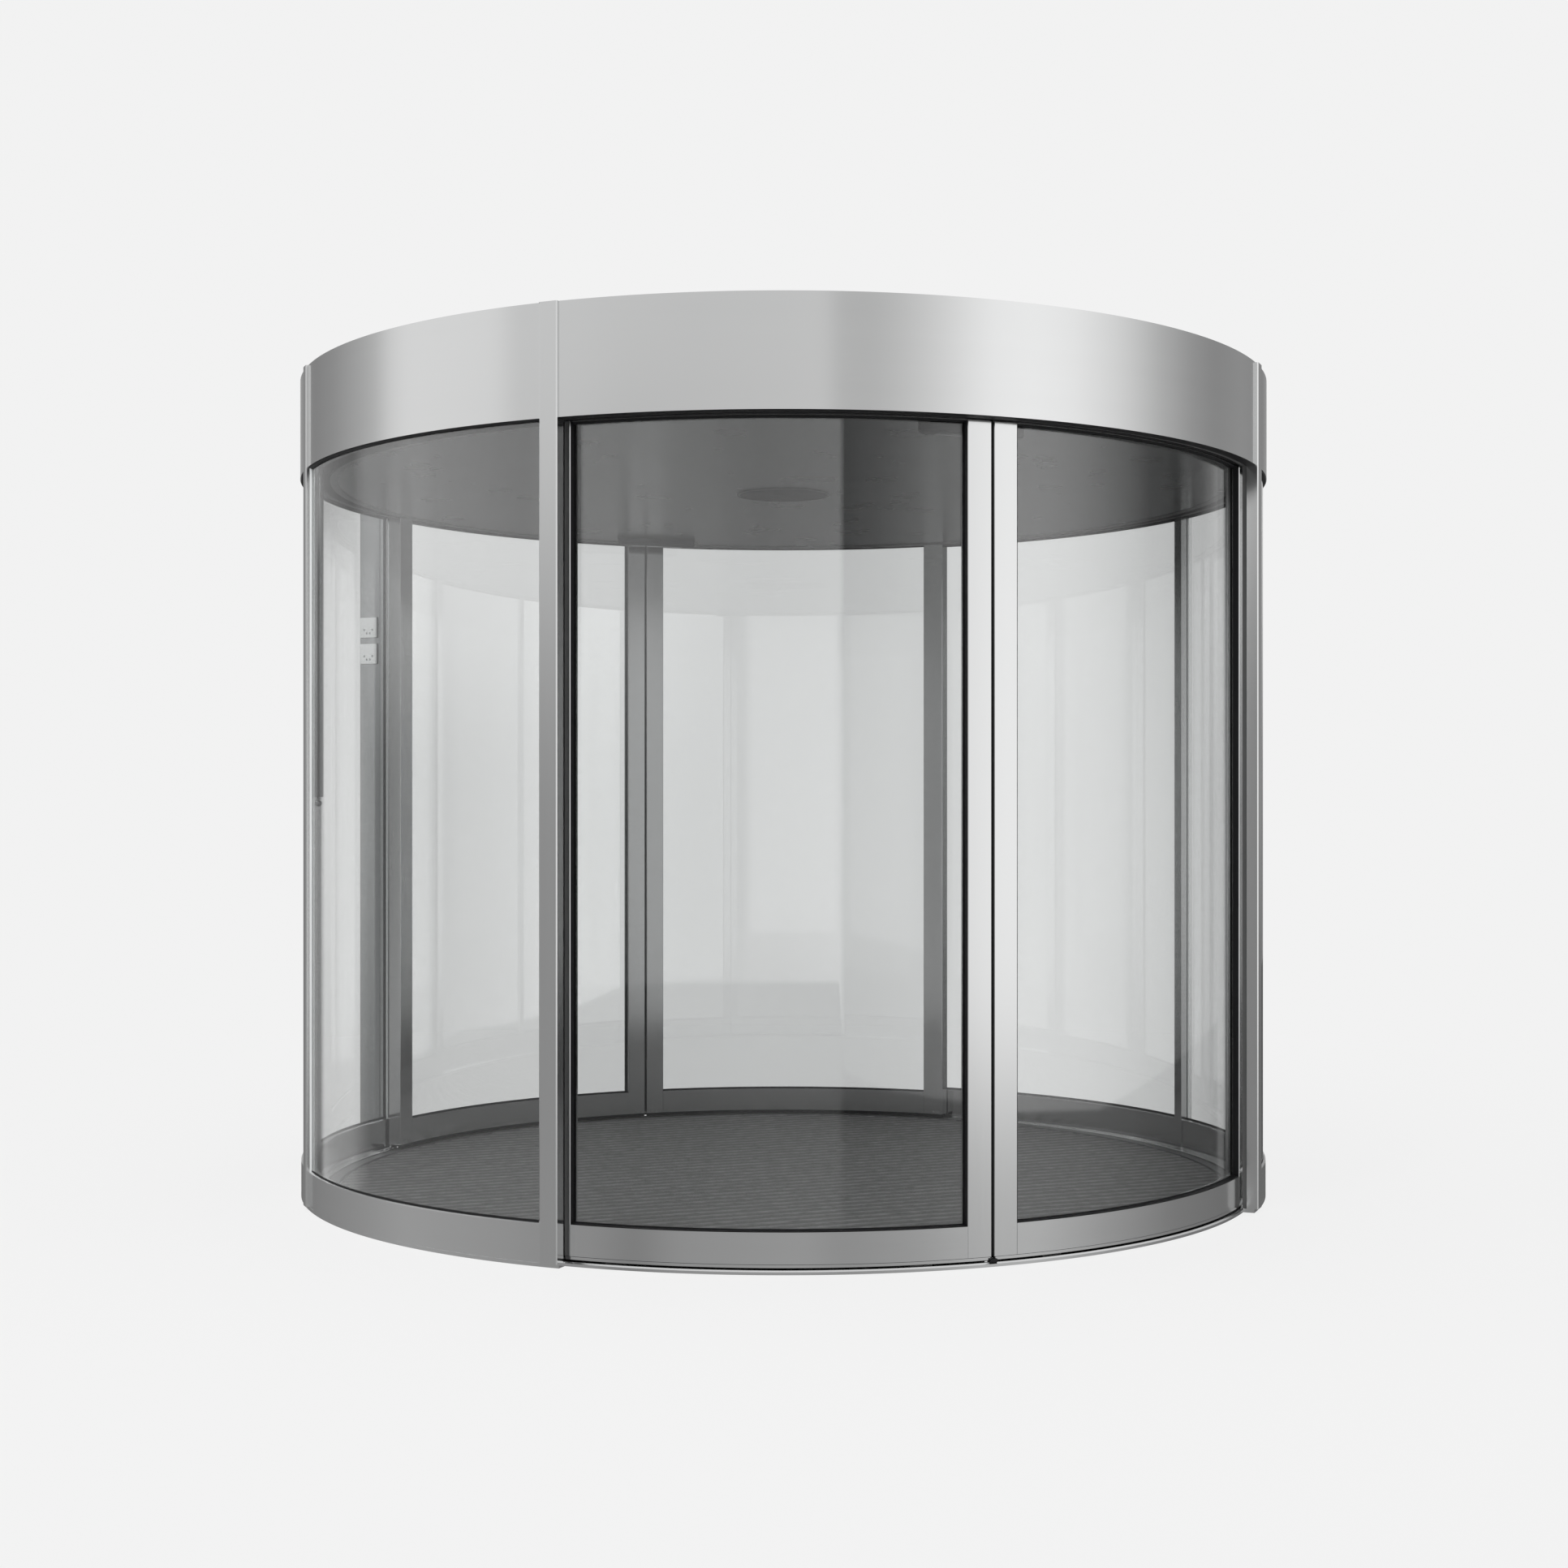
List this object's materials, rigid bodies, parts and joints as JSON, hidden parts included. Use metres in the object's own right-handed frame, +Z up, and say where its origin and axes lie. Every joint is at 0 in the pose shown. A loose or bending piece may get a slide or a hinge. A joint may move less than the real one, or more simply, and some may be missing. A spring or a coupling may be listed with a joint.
{
  "type": "circular sliding door",
  "caption": "Free-standing glazed drum entrance with a ring canopy, fixed curved side walls, and curved leaves that slide apart along them at the front and rear.",
  "frame": {"origin": "at floor level on the axis of the drum, in the middle of the underside of the mat", "axes": "+Z up; the front entrance faces -Y and the rear one +Y; the side mullions where a facade meets the drum are at -X and +X"},
  "size_m": [3.056, 3.04, 2.5],
  "materials": {
    "satin_aluminium": "satin anodised",
    "cover_sheet": "mill",
    "soffit_grey": "satin dark grey paint",
    "clear_glass": "clear",
    "mat_fibre": "ribbed brush mat",
    "seal_rubber": "matt black",
    "black_plastic": "matt",
    "lamp_lens": "matt",
    "switch_metal": "satin"
  },
  "bodies": {
    "housing": {"floor_ring": "satin_aluminium", "floor_mat": "mat_fibre", "fascia_front": "satin_aluminium", "fascia_rear": "satin_aluminium", "fascia_left": "satin_aluminium", "fascia_right": "satin_aluminium", "roof_cover": "cover_sheet", "track_housing": "soffit_grey", "ceiling_panels": "soffit_grey", "ceiling_deck": "cover_sheet", "ceiling_lamp": "lamp_lens", "corner_post_front_left": "satin_aluminium", "corner_post_front_right": "satin_aluminium", "corner_post_rear_left": "satin_aluminium", "corner_post_rear_right": "satin_aluminium", "side_mullion_left": "satin_aluminium", "side_rail_left": "satin_aluminium", "side_glass_left": "clear_glass", "side_mullion_right": "satin_aluminium", "side_rail_right": "satin_aluminium", "side_glass_right": "clear_glass", "post_seals": "seal_rubber", "sensor_front": "black_plastic", "sensor_rear": "black_plastic", "control_column": "satin_aluminium", "switch_plates": "switch_metal", "release_channel": "satin_aluminium", "floor_stops": "black_plastic"},
    "front_left_leaf": {"front_left_stiles": "satin_aluminium", "front_left_bottom_rail": "satin_aluminium", "front_left_head_rail": "satin_aluminium", "front_left_glass": "clear_glass"},
    "front_right_leaf": {"front_right_stiles": "satin_aluminium", "front_right_bottom_rail": "satin_aluminium", "front_right_head_rail": "satin_aluminium", "front_right_glass": "clear_glass"},
    "rear_left_leaf": {"rear_left_stiles": "satin_aluminium", "rear_left_bottom_rail": "satin_aluminium", "rear_left_head_rail": "satin_aluminium", "rear_left_glass": "clear_glass"},
    "rear_right_leaf": {"rear_right_stiles": "satin_aluminium", "rear_right_bottom_rail": "satin_aluminium", "rear_right_head_rail": "satin_aluminium", "rear_right_glass": "clear_glass"}
  },
  "joints": [
    {"name": "front_left_slide", "type": "hinge", "parent": "housing", "child": "front_left_leaf", "pos_m": [0, 0, 0], "axis": [0, 0, 1], "range_deg": [-40.6, 0]},
    {"name": "front_right_slide", "type": "hinge", "parent": "housing", "child": "front_right_leaf", "pos_m": [0, 0, 0], "axis": [0, 0, 1], "range_deg": [0, 40.6]},
    {"name": "rear_left_slide", "type": "hinge", "parent": "housing", "child": "rear_left_leaf", "pos_m": [0, 0, 0], "axis": [0, 0, 1], "range_deg": [0, 40.6]},
    {"name": "rear_right_slide", "type": "hinge", "parent": "housing", "child": "rear_right_leaf", "pos_m": [0, 0, 0], "axis": [0, 0, 1], "range_deg": [-40.6, 0]}
  ],
  "couplings": [
    {"joint": "front_right_slide", "follows": "front_left_slide", "ratio": -1},
    {"joint": "rear_right_slide", "follows": "rear_left_slide", "ratio": -1}
  ]
}
